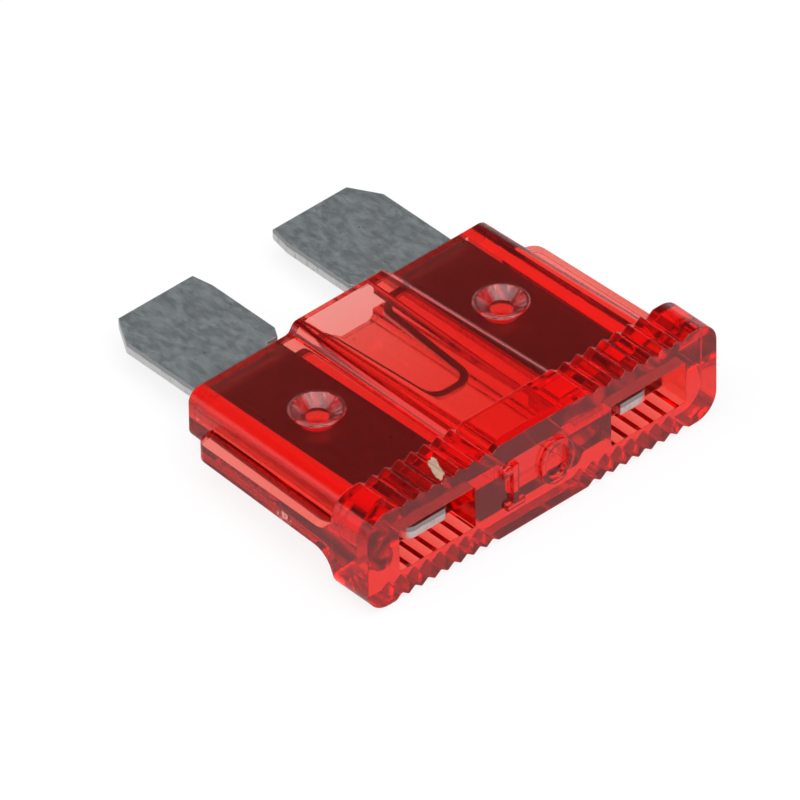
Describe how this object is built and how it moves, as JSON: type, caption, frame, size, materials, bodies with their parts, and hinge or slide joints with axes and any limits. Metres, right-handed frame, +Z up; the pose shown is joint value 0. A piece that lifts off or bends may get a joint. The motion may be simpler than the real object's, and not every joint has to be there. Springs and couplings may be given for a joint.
{
  "type": "automotive blade fuse",
  "caption": "Flat plug-in fuse: clear red moulded housing with ribbed grips, probe pockets and a raised number, round a stamped metal element whose parallel blades stick out.",
  "frame": {"origin": "middle of the outline seen from above, on the surface the fuse lies on", "axes": "X across the width, left blade at -X; Y from the gripping head at -Y to the blade tips at +Y; Z up, away from the surface it lies on"},
  "size_m": [0.019, 0.019, 0.005],
  "materials": {
    "red_housing": "clear red moulding, glossy faces, see-through walls",
    "zinc_element": "plain stamped zinc alloy, dull grey faces, brighter sheared edges"
  },
  "bodies": {
    "root": {"housing": "red_housing", "fuse_element": "zinc_element"}
  },
  "joints": []
}
